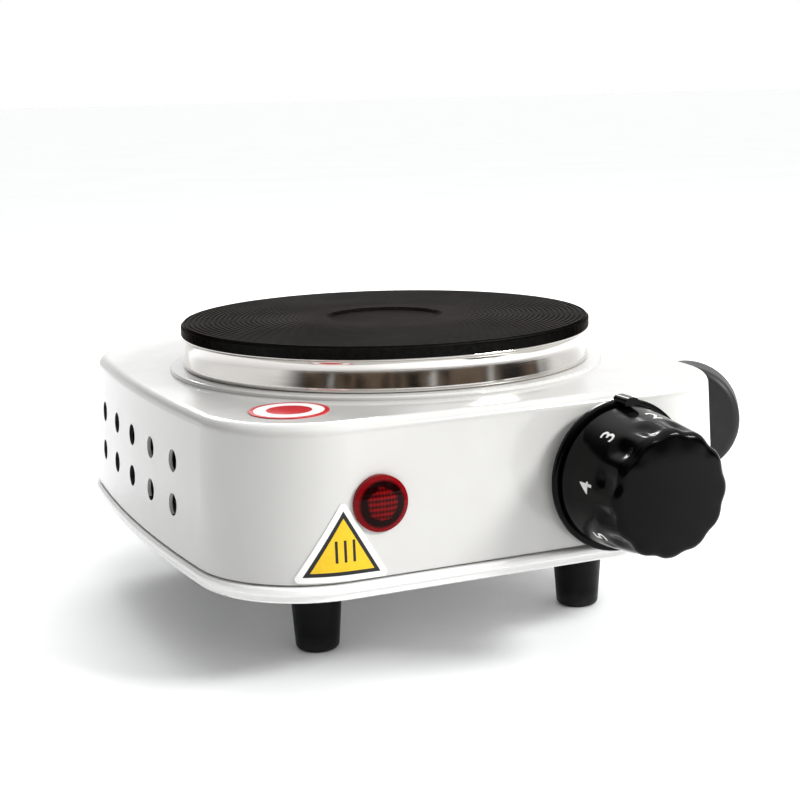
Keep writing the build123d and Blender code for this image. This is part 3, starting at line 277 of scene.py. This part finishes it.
def foot_rubber():
    """Dull black foot, scuffed and dusty towards the table."""
    s = Shader("foot_rubber", Specular_IOR_Level=0.12)
    height = s.node("ShaderNodeSeparateXYZ", {"Vector": s.place()}).outputs["Z"]
    low = s.node("ShaderNodeMapRange", {"Value": height, "From Min": 0.004, "From Max": 0.0, "To Max": 0.6})
    dust = s.math("MULTIPLY", low.outputs["Result"], s.noise(600, 4), clamp=True)
    colour = s.ramp(dust, (0.0, (0.002, 0.002, 0.0024)), (1.0, (0.07, 0.068, 0.066)))
    return s.done(colour, s.grey(s.noise(260, 4), 0.35, 0.5), s.bump(s.noise(1300, 3), 0.25, 0.0001))


def cord_sheath():
    """Black PVC sheath with a slight waviness."""
    s = Shader("cord_sheath")
    colour = s.ramp(s.noise(120, 4), (0.3, (0.011, 0.011, 0.012)), (0.75, (0.022, 0.022, 0.024)))
    return s.done(colour, s.grey(s.noise(200, 4), 0.3, 0.45), s.bump(s.noise(380, 3), 0.18, 0.0002))


def insulator(name, dark, light, rough):
    """A moulded or fired insulating material in a given colour."""
    s = Shader(name)
    colour = s.ramp(s.noise(220, 5), (0.3, dark), (0.75, light))
    grain = s.bump(s.noise(1200, 4), 0.25, 0.0001)
    return s.done(colour, s.grey(s.noise(400, 3), rough, rough + 0.15), grain)


def red_lens():
    """Red plastic lens: a bright rim painted as light glowing through it, a dark ring of painted shade
    inside it, and a window moulded in fine rows.
    """
    s = Shader("red_lens", Specular_IOR_Level=0.05, Coat_Weight=0.05, Coat_Roughness=0.03)
    radius = s.radius((LENS_X, 0, LENS_Z), (1, 0, 1))
    height = s.node("ShaderNodeSeparateXYZ", {"Vector": s.place()}).outputs["Z"]
    across = s.node("ShaderNodeSeparateXYZ", {"Vector": s.place()}).outputs["X"]
    rows = s.math("SINE", s.math("MULTIPLY", height, 2 * pi / LENS_ROW_PITCH))
    cells = s.math("SINE", s.math("MULTIPLY", across, 2 * pi / LENS_CELL_PITCH))
    weave = s.math("ADD", s.math("MULTIPLY", rows, 0.3), s.math("MULTIPLY", cells, 0.14))
    shade = s.math("ADD", s.math("ADD", weave, s.math("MULTIPLY", s.noise(900, 3), 0.5)), 0.2, clamp=True)
    window = s.ramp(shade, (0.2, (0.035, 0.001, 0.0015)), (0.9, (0.19, 0.004, 0.005)))
    ragged = s.math("ADD", radius, s.grey(s.noise(420, 2), -0.9 * MM, 0.9 * MM))
    # painted shade: a near-black ring between the window and the rim
    lens_dark_ring_painted_shade = s.node("ShaderNodeMapRange", {"Value": ragged, "From Min": 3.1 * MM, "From Max": 3.5 * MM})
    # painted light: the outer rim is a bright red glow, as if lit through the plastic
    rim = s.node("ShaderNodeMapRange", {"Value": radius, "From Min": 4.7 * MM, "From Max": 5.3 * MM})
    inner = s.blend(lens_dark_ring_painted_shade.outputs["Result"], window, (0.008, 0.0005, 0.0006, 1))
    colour = s.blend(rim.outputs["Result"], inner, (0.17, 0.003, 0.005, 1))
    return s.done(colour, s.grey(s.noise(500, 2), 0.05, 0.11), s.bump(weave, 0.25, 0.00012))


def lamp_glass():
    """Clear glass of the neon lamp."""
    s = Shader("lamp_glass", Transmission_Weight=0.9, IOR=1.5)
    colour = s.ramp(s.noise(300, 2), (0.3, (0.95, 0.80, 0.72)), (0.7, (1.0, 0.9, 0.85)))
    return s.done(colour, s.grey(s.noise(500, 2), 0.02, 0.08))


def white_print():
    """White printing ink, slightly uneven."""
    s = Shader("white_print")
    colour = s.ramp(s.noise(1500, 3), (0.3, (0.72, 0.72, 0.70)), (0.7, (0.85, 0.85, 0.83)))
    return s.done(colour, s.grey(s.noise(900, 2), 0.35, 0.5))


def heat_film():
    """Printed triangle: white margin, black border, yellow field and three plain bars."""
    s = Shader("heat_film", Specular_IOR_Level=0.3)
    depth = None
    for (x1, z1), (x2, z2) in zip(TRIANGLE, TRIANGLE[1:] + TRIANGLE[:1]):
        start = (AXIS_X + x1 * MM, 0, z1 * MM)
        inward = Vector((z1 - z2, 0, x2 - x1)).normalized()
        edge = s.vector("DOT_PRODUCT", s.vector("SUBTRACT", s.place(), start), tuple(inward))
        depth = edge if depth is None else s.math("MINIMUM", depth, edge)
    parts = s.node("ShaderNodeSeparateXYZ", {"Vector": s.place()})
    across = s.math("SUBTRACT", parts.outputs["X"], AXIS_X + TRIANGLE[2][0] * MM)
    beside = s.math("PINGPONG", across, BAR_PITCH / 2)
    high = s.math("ABSOLUTE", s.math("SUBTRACT", parts.outputs["Z"], BAR_Z))
    bars = s.math("LESS_THAN", beside, BAR_W / 2)
    bars = s.math("MULTIPLY", bars, s.math("LESS_THAN", high, BAR_H / 2))
    bars = s.math("MULTIPLY", bars, s.math("LESS_THAN", s.math("ABSOLUTE", across), 1.4 * BAR_PITCH))
    yellow = s.ramp(s.noise(500, 3), (0.3, (0.70, 0.45, 0.010)), (0.7, (0.78, 0.51, 0.016)))
    ink = (0.012, 0.012, 0.012, 1)
    field = s.blend(bars, yellow, ink)
    bordered = s.blend(s.step(depth, TRIANGLE_MARGIN + TRIANGLE_BORDER), ink, field)
    colour = s.blend(s.step(depth, TRIANGLE_MARGIN), (0.83, 0.83, 0.81, 1), bordered)
    return s.done(colour, s.grey(s.noise(300, 2), 0.28, 0.4), s.bump(s.noise(700, 2), 0.05, 0.0001))


def badge_film():
    """Printed round badge: a red edge, a white band and a red middle."""
    s = Shader("badge_film", Specular_IOR_Level=0.2)
    radius = s.radius((BADGE_X, BADGE_Y, 0), (1, 1, 0))
    red = s.ramp(s.noise(500, 3), (0.3, (0.44, 0.010, 0.015)), (0.7, (0.52, 0.018, 0.023)))
    white = (0.83, 0.82, 0.80, 1)
    inner = s.blend(s.step(radius, BADGE_MIDDLE_R), red, white)
    colour = s.blend(s.step(radius, BADGE_BAND_R), inner, red)
    return s.done(colour, s.grey(s.noise(300, 2), 0.28, 0.4), s.bump(s.noise(700, 2), 0.05, 0.0001))


def floor_finish():
    """Matt white table."""
    s = Shader("floor_finish", Specular_IOR_Level=0.2)
    colour = s.ramp(s.noise(6, 2), (0.3, (0.88, 0.885, 0.89)), (0.7, (0.90, 0.905, 0.91)))
    return s.done(colour, s.grey(s.noise(9, 2), 0.55, 0.6))


MATERIAL_NODES = {
    enamel: ["top_shell"],
    pan_enamel: ["base_pan"],
    plate_iron: ["hotplate_casting"],
    bright_ring: ["trim_ring", "heat_shield", "plate_back_cover"],
    zinc_steel: ["front_cross_strap", "rear_cross_strap", "foot_screws", "clamp_bridge", "centre_stud",
                 "stud_washer", "stud_nut", "shield_nut", "element_terminals", "thermostat_nut",
                 "thermostat_bimetal", "thermostat_contacts", "thermostat_spindle", "knob_clip",
                 "indicator_clip", "terminal_screws", "cord_clamp_screws", "thermal_fuse", "heating_coil"],
    plated_pin: ["plug_pins"],
    brass: ["thermostat_bush", "earth_screw"],
    glossy_black: ["knob", "knob_bezel"],
    satin_black: ["cord_gland", "cord_clamp_base", "cord_clamp_cap", "indicator_holder", "plug_body"],
    foot_rubber: ["foot_front_left", "foot_front_right", "foot_rear_left", "foot_rear_right"],
    cord_sheath: ["cord_sheath_end"],
    red_lens: ["indicator_lens"],
    lamp_glass: ["neon_lamp"],
    heat_film: ["heat_label"],
    badge_film: ["top_label"],
}
INSULATOR_NODES = [
    ("steatite", (0.60, 0.55, 0.46), (0.74, 0.70, 0.61), 0.5,
     ["thermostat_body", "terminal_beads", "coil_cement"]),
    ("fibre_pad", (0.58, 0.56, 0.50), (0.76, 0.74, 0.69), 0.8, ["insulation_pad"]),
    ("block_plastic", (0.72, 0.71, 0.66), (0.82, 0.81, 0.77), 0.35, ["terminal_block"]),
    ("wire_blue", (0.02, 0.08, 0.32), (0.04, 0.12, 0.42), 0.35, ["neutral_wire", "lamp_wires"]),
    ("wire_brown", (0.12, 0.045, 0.02), (0.20, 0.08, 0.035), 0.35,
     ["live_wire", "switched_wire", "fuse_lead", "supply_cores"]),
    ("wire_green", (0.06, 0.22, 0.03), (0.12, 0.34, 0.05), 0.35, ["earth_wire"]),
]


def paint(obj, material):
    """Give every slot of a piece one material."""
    obj.data.materials.clear()
    obj.data.materials.append(material)


def paint_nodes():
    """A finished material on every CAD node."""
    for make, names in MATERIAL_NODES.items():
        material = make()
        for name in names:
            paint(NODES[name], material)
    for name, dark, light, rough, names in INSULATOR_NODES:
        material = insulator(name, dark, light, rough)
        for node in names:
            paint(NODES[node], material)


# ------------------------------------------------------------------ cord
GLAND_ROUTE = [
    (-20.0, 88.6, 35.0), (-20.0, 101.5, 35.0), (-20.0, 113.5, 28.5), (-20.1, 123.5, 19.0),
    (-19.7, 135.5, 11.6), (-16.4, 149.0, 9.6),
]
PLUG_ROUTE = [
    (60.1, 142.0, 3.2), (61.2, 127.0, 3.2), (67.2, 114.2, 3.2), (77.6, 104.2, 3.2), (89.6, 97.2, 3.2),
    (101.56, 89.69, 3.2), (113.2, 81.77, 8.27),
]
COIL_TURNS_STEPS = 16


def coil_points():
    """The wound length: 3.4 turns clockwise, down from the top layer to the table."""
    shift_y = AXIS_Y
    start = atan2(GLAND_ROUTE[-1][1] * MM + shift_y - COIL_Y, GLAND_ROUTE[-1][0] * MM - COIL_X)
    end = atan2(PLUG_ROUTE[0][1] * MM + shift_y - COIL_Y, PLUG_ROUTE[0][0] * MM - COIL_X)
    sweep = start - end + 3 * 2 * pi
    count = int(sweep / (2 * pi) * COIL_TURNS_STEPS)
    inner, outer = 33.9 * MM, 40.2 * MM
    points = []
    for index in range(1, count):
        angle = sweep * index / count
        turn = angle / (2 * pi)
        top = step_down(turn, 1.0, 1.45)
        widen = step_down(turn, 2.35, 2.62)
        top_radius = outer - 3.0 * MM * step_up(turn, 0.1, 0.9)
        radius = top_radius * top + (inner * widen + outer * (1 - widen)) * (1 - top)
        height = CORD_R + (6.0 * MM + 0.4 * MM * sin(3.1 * angle)) * top
        radius += 0.35 * MM * sin(2.3 * angle + 0.6) * (0.3 + 0.7 * top)
        way = start - angle
        points.append(Vector((COIL_X + radius * cos(way), COIL_Y + radius * sin(way), height)))
    return points


def step_up(value, low, high):
    """Smoothly from 0 at low to 1 at high."""
    share = min(max((value - low) / (high - low), 0.0), 1.0)
    return share * share * (3 - 2 * share)


def step_down(value, low, high):
    """Smoothly from 1 at low to 0 at high."""
    return 1.0 - step_up(value, low, high)


def in_frame(points):
    """Points given in millimetres about the plate's axis, as metres in the frame."""
    return [Vector((AXIS_X + x * MM, AXIS_Y + y * MM, z * MM)) for x, y, z in points]


def make_cord():
    """The supply cord: from the gland into its coil, and on along the table to the plug."""
    points = in_frame(GLAND_ROUTE) + coil_points() + in_frame(PLUG_ROUTE)
    curve = bpy.data.curves.new("power_cord_skin", "CURVE")
    curve.dimensions = "3D"
    curve.bevel_depth = CORD_R
    curve.bevel_resolution = 6
    curve.resolution_u = 8
    spline = curve.splines.new("NURBS")
    spline.points.add(len(points) - 1)
    for point, place in zip(spline.points, points):
        point.co = (*place, 1.0)
    spline.order_u = 3
    spline.use_endpoint_u = True
    cord = link("power_cord_skin", curve)
    cord.data.materials.append(cord_sheath())
    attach(cord, "housing")
    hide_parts("power_cord", "cord_coil")


# ------------------------------------------------------------------ mesh helpers
def link(name, data):
    """A new object in the scene."""
    obj = bpy.data.objects.new(name, data)
    bpy.context.scene.collection.objects.link(obj)
    return obj


def mesh_piece(name, vertices, faces, smooth=True):
    """A mesh object from plain lists."""
    mesh = bpy.data.meshes.new(name)
    mesh.from_pydata([tuple(v) for v in vertices], [], faces)
    mesh.update()
    for polygon in mesh.polygons:
        polygon.use_smooth = smooth
    return link(name, mesh)


def smooth_nodes():
    """Smooth shading on the CAD nodes."""
    for obj in NODES.values():
        for polygon in obj.data.polygons:
            polygon.use_smooth = True


TOP_BAND = 2.0 * MM        # the pressed top within this of its highest point keeps its enamel


def coat_inside(name):
    """Give the faces of a shell that look inwards the near-black coat, as painted shade inside it."""
    shell = NODES[name]
    shell.data.materials.append(ground_coat())
    top = corners(name)[1].z - TOP_BAND
    centre = middle(name)
    for polygon in shell.data.polygons:
        if polygon.normal.dot(polygon.center - centre) < 0 and polygon.center.z < top:
            polygon.material_index = 1


# ------------------------------------------------------------------ cord tie
TIE_HALF_W, TIE_HALF_H = 6.9 * MM, 5.9 * MM
TIE_WIDTH, TIE_T = 5.0 * MM, 0.5 * MM
TIE_WAY = radians(75)      # where it sits round the coil
TIE_REACH = 0.426          # from the coil's middle, as a share of its width
TIE_SQUARENESS = 4         # 2 would be an ellipse
TIE_SEGMENTS = 64


def make_tie():
    """A soft strap round the coil's turns."""
    outward = Vector((cos(TIE_WAY), sin(TIE_WAY), 0))
    along = Vector((-sin(TIE_WAY), cos(TIE_WAY), 0))
    centre = Vector((COIL_X, COIL_Y, TIE_HALF_H + TIE_T)) + outward * (COIL_HIGH.x - COIL_LOW.x) * TIE_REACH
    section = [(0, -0.5), (0, 0.5), (1, 0.5), (1, -0.5)]

    def place(index, way):
        depth, side = section[index]
        flat = abs(cos(way)) ** TIE_SQUARENESS + abs(sin(way)) ** TIE_SQUARENESS
        reach = flat ** (-1 / TIE_SQUARENESS)
        offset = outward * cos(way) * (TIE_HALF_W * reach + depth * TIE_T)
        lift = Vector((0, 0, sin(way) * (TIE_HALF_H * reach + depth * TIE_T)))
        return centre + offset + lift + along * side * TIE_WIDTH

    tie = turned_piece("cord_tie", len(section), place, TIE_SEGMENTS)
    tie.data.materials.append(satin_black())
    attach(tie, "housing")


# ------------------------------------------------------------------ trim ring
RING_PROFILE = [       # mm in from the plate's rim, and share of the height
    (5.4, 0.0), (0.75, 0.0), (0.30, 0.03), (0.20, 0.06), (0.36, 0.17), (0.53, 0.29), (0.69, 0.41),
    (0.83, 0.52), (0.93, 0.62), (0.97, 0.71), (0.97, 0.80), (0.94, 0.86), (0.86, 0.90), (0.16, 0.925),
    (0.06, 0.955), (0.14, 0.985), (0.5, 1.0), (5.4, 1.0),
]
RING_SEGMENTS = 256


def make_ring():
    """Bright ring with a slightly hollow wall and a rolled bead under the plate's rim."""
    outer = (RING_HIGH.x - RING_LOW.x) / 2
    height = RING_HIGH.z - RING_LOW.z
    profile = [(outer - inset * MM, RING_LOW.z + share * height) for inset, share in RING_PROFILE]

    def place(index, way):
        radius, z = profile[index]
        return Vector((AXIS_X + radius * cos(way), AXIS_Y + radius * sin(way), z))

    ring = turned_piece("trim_ring_skin", len(profile), place, RING_SEGMENTS)
    ring.data.materials.append(bright_ring())
    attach(ring, "housing")
    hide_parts("trim_ring")


def turned_piece(name, count, place, segments):
    """A closed surface from a loop of profile points that place(index, angle) sets round an axis."""
    ways = [2 * pi * segment / segments for segment in range(segments)]
    vertices = [place(index, way) for way in ways for index in range(count)]
    faces = []
    for segment in range(segments):
        here, there = segment * count, (segment + 1) % segments * count
        for index in range(count):
            after = (index + 1) % count
            faces.append((here + index, there + index, there + after, here + after))
    return mesh_piece(name, vertices, faces)


# ------------------------------------------------------------------ knob
SKIRT_BACK_R, SKIRT_FRONT_R, SKIRT_L = 15.7 * MM, 14.6 * MM, 10.5 * MM
FLUTES, FLUTE_DEPTH = 12, 0.95 * MM
FLUTE_START, FLUTE_FULL = 0.6 * MM, 3.6 * MM       # in front of the skirt
FLUTE_FADE_R, FLUTE_FULL_R = 9.5 * MM, 12.6 * MM   # across the face
FLUTE_SHALLOW_START, FLUTE_SHALLOW_END = 4.5 * MM, 1.5 * MM   # behind the face, down to half depth
FLUTE_NARROWING = 1.3      # 1 would be a plain cosine
TIP_R, EDGE_R = 13.9 * MM, 1.5 * MM
GRIP_STEPS, EDGE_STEPS = 12, 6
KNOB_LENGTH = KNOB_HIGH.y - KNOB_LOW.y
FACE_DOME_R = 80.0 * MM
BORE_R, BORE_L = 3.0 * MM, 14.1 * MM
KNOB_SEGMENTS = 288


def knob_profile():
    """(radius, distance from the back) round half a section of the knob, from its bore to its face."""
    profile = [(0.0, BORE_L), (BORE_R, BORE_L), (BORE_R, 0.0), (SKIRT_BACK_R - 0.4 * MM, 0.0),
               (SKIRT_BACK_R - 0.1 * MM, 0.12 * MM), (SKIRT_BACK_R, 0.4 * MM), (SKIRT_BACK_R, 1.0 * MM)]
    profile += [(skirt_radius(along * MM), along * MM) for along in (3.0, 5.0, 7.0, 9.0, 10.1, 10.5)]
    grip_l = KNOB_LENGTH - face_drop(TIP_R) - EDGE_R - SKIRT_L
    for index in range(1, GRIP_STEPS + 1):
        share = index / GRIP_STEPS
        profile.append((SKIRT_FRONT_R + (TIP_R - SKIRT_FRONT_R) * share, SKIRT_L + grip_l * share))
    for index in range(1, EDGE_STEPS + 1):
        way = pi / 2 * index / EDGE_STEPS
        radius = TIP_R - EDGE_R * (1 - cos(way))
        along = KNOB_LENGTH - face_drop(radius) - EDGE_R * (1 - sin(way))
        profile.append((radius, along))
    for share in (0.85, 0.78, 0.7, 0.6, 0.45, 0.3, 0.15, 0.0):
        profile.append((TIP_R * share, KNOB_LENGTH - face_drop(TIP_R * share)))
    return profile


def skirt_radius(along):
    """Radius of the conical skirt at a distance from the knob's back."""
    return SKIRT_BACK_R - (SKIRT_BACK_R - SKIRT_FRONT_R) * along / SKIRT_L


def face_drop(radius):
    """How far the domed face has fallen back at a radius."""
    return radius**2 / (2 * FACE_DOME_R)


def make_knob():
    """Fluted grip with rounded ribs in front of a smooth conical skirt."""
    profile = knob_profile()

    def place(index, way):
        radius, along = profile[index]
        valley = (0.5 - 0.5 * cos(FLUTES * way)) ** FLUTE_NARROWING
        reach = step_up(along, SKIRT_L + FLUTE_START, SKIRT_L + FLUTE_FULL)
        reach *= step_up(radius, FLUTE_FADE_R, FLUTE_FULL_R)
        reach *= 1 - 0.5 * step_up(along, KNOB_LENGTH - FLUTE_SHALLOW_START, KNOB_LENGTH - FLUTE_SHALLOW_END)
        radius -= FLUTE_DEPTH * valley * reach
        return Vector((KNOB_X + radius * sin(way), KNOB_HIGH.y - along, KNOB_Z + radius * cos(way)))

    knob = turned_piece("knob_skin", len(profile), place, KNOB_SEGMENTS)
    tidy_poles(knob.data)
    knob.data.materials.append(glossy_black())
    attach(knob, "knob")
    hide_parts("knob")


def tidy_poles(mesh):
    """Merge the points that meet on the axis, and drop the slit between the two poles."""
    detail = bmesh.new()
    detail.from_mesh(mesh)
    bmesh.ops.remove_doubles(detail, verts=detail.verts, dist=1e-6)
    loose = [edge for edge in detail.edges if not edge.link_faces]
    bmesh.ops.delete(detail, geom=loose, context="EDGES")
    bmesh.ops.recalc_face_normals(detail, faces=detail.faces)
    detail.to_mesh(mesh)
    detail.free()


# ------------------------------------------------------------------ knob scale
NUMERAL_STEP = 46.0        # degrees between numerals
ZERO_ANGLE = -99.0         # degrees anticlockwise from the top to the first one
NUMERAL_H = 3.9 * MM
NUMERAL_PROUD = 0.07 * MM
SCALE_FROM_BACK = 9.0 * MM  # middle of the numerals, from the knob's back face


def skirt_point(across, up, angle):
    """A point of a numeral laid round the skirt, whose top points at the wall."""
    from_back = SCALE_FROM_BACK - up
    radius = skirt_radius(from_back) + NUMERAL_PROUD
    way = radians(angle) - across / radius
    return Vector((KNOB_X - radius * sin(way), KNOB_HIGH.y - from_back, KNOB_Z + radius * cos(way)))


def make_numeral(value):
    """One numeral of the scale, wrapped on to the skirt."""
    curve = bpy.data.curves.new(f"numeral_{value}", "FONT")
    curve.body = str(value)
    curve.align_x, curve.align_y = "CENTER", "CENTER"
    curve.size = NUMERAL_H * 1.4
    curve.offset = NUMERAL_H * 0.012
    text = link(f"numeral_text_{value}", curve)
    bpy.context.view_layer.update()
    mesh = bpy.data.meshes.new_from_object(text)
    bpy.data.objects.remove(text)
    detail = bmesh.new()
    detail.from_mesh(mesh)
    bmesh.ops.subdivide_edges(detail, edges=detail.edges, cuts=2, use_grid_fill=True)
    angle = ZERO_ANGLE + NUMERAL_STEP * value
    for vertex in detail.verts:
        vertex.co = skirt_point(vertex.co.x, vertex.co.y, angle)
    detail.to_mesh(mesh)
    detail.free()
    return link(f"numeral_{value}", mesh)


def make_scale():
    """White numerals from 0 to 5 on the knob's skirt."""
    ink = white_print()
    for value in range(6):
        numeral = make_numeral(value)
        numeral.data.materials.append(ink)
        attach(numeral, "knob")


# ------------------------------------------------------------------ stage
def area_light(name, place, target, size, power, colour=(1, 1, 1)):
    data = bpy.data.lights.new(name, "AREA")
    data.shape = "RECTANGLE"
    data.size, data.size_y = size
    data.energy = power
    data.color = colour
    light = link(name, data)
    light.location = place
    light.rotation_euler = (Vector(place) - Vector(target)).to_track_quat("Z", "Y").to_euler()


WALL_WHITE, WALL_GREY = (1.0, 1.0, 1.0), (0.05, 0.05, 0.055)
CEILING, CEILING_LEFT = (2.15, 2.15, 2.15), (0.7, 0.7, 0.7)
SHADE_DARK, SHADE_BROWN, SHADE_LIGHT = (0.008, 0.006, 0.005), (0.16, 0.115, 0.08), (0.75, 0.73, 0.70)


def make_world():
    """White walls and bright ceiling, greyer at the left, with a dim room low down in front."""
    world = bpy.data.worlds.new("surroundings")
    bpy.context.scene.world = world
    s = Shader("surroundings", world)
    way = s.node("ShaderNodeTexCoord").outputs["Generated"]
    parts = s.node("ShaderNodeSeparateXYZ", {"Vector": way}).outputs
    left = s.between(parts["X"], 0.1, -0.5)
    shade = s.math("MULTIPLY", left, s.between(parts["Z"], 0.10, 0.22))
    walls = s.blend(shade, (*WALL_WHITE, 1), (*WALL_GREY, 1))
    ceiling = s.blend(left, (*CEILING, 1), (*CEILING_LEFT, 1))
    stripes = s.noise(4.5, 2, vector=s.vector("MULTIPLY", way, (1.0, 0.4, 0.25)))
    room = s.ramp(stripes, (0.36, SHADE_DARK), (0.48, SHADE_BROWN), (0.56, SHADE_DARK), (0.66, SHADE_LIGHT))
    behind = s.math("MULTIPLY", s.between(parts["Y"], -0.05, -0.4), s.between(parts["Z"], 0.42, 0.25))
    sides = s.blend(behind, walls, room)
    overhead = s.between(parts["Z"], 0.62, 0.85)
    s.feed(s.tree.nodes["Background"].inputs["Color"], s.blend(overhead, sides, ceiling))


def make_stage():
    """Pale floor and soft studio light."""
    bpy.ops.mesh.primitive_plane_add(size=60.0, location=(0, 0, 0))
    floor = bpy.context.object
    floor.name = "floor"
    floor.data.materials.append(floor_finish())
    make_world()
    centre = (AXIS_X, AXIS_Y, 0.04)
    area_light("key", (0.58, -0.62, 0.57), centre, (0.36, 0.14), 9.0)
    area_light("window", (0.20, 0.78, 0.50), centre, (0.55, 0.12), 4.0)
    bpy.context.scene.view_settings.view_transform = "Standard"


make_camera()
paint_nodes()
smooth_nodes()
coat_inside("top_shell")
make_cord()
make_ring()
make_knob()
make_scale()
make_tie()
make_stage()
